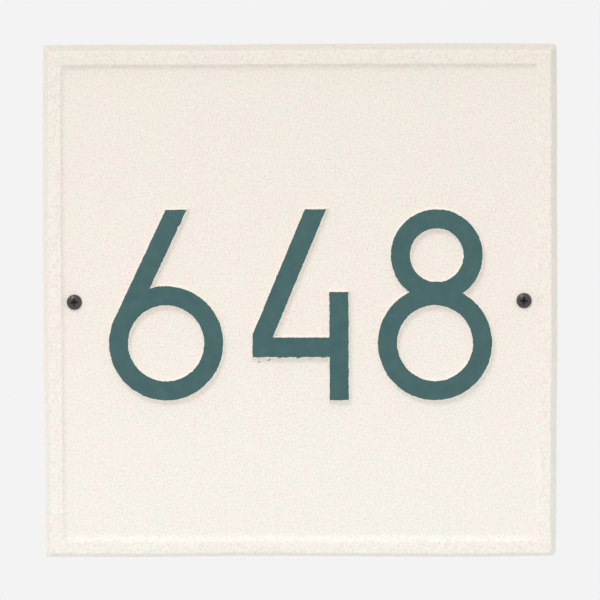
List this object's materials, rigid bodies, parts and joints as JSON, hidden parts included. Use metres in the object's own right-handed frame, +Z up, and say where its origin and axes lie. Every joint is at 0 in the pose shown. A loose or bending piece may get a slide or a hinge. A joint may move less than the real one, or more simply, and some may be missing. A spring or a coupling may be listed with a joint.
{
  "type": "house number plaque",
  "caption": "Square cast-metal house number plaque with a raised border, a recessed panel, raised painted digits and mounting screws.",
  "frame": {"origin": "middle of the back, in the plane of the rim that lies on the wall, half way between the two screws", "axes": "+Z up the wall, +X to the right as the plaque is read, +Y into the wall; the face looks along -Y"},
  "size_m": [0.305, 0.0412, 0.305],
  "materials": {
    "coated_casting": "cream textured paint over a sand-cast surface, matt",
    "digit_enamel": "dark teal enamel, brushed on by hand, eggshell",
    "black_screw_steel": "black coated steel, semi-gloss"
  },
  "bodies": {
    "root": {"casting": "coated_casting", "enamel_six": "digit_enamel", "enamel_four": "digit_enamel", "enamel_eight": "digit_enamel", "mounting_screws": "black_screw_steel"}
  },
  "joints": []
}
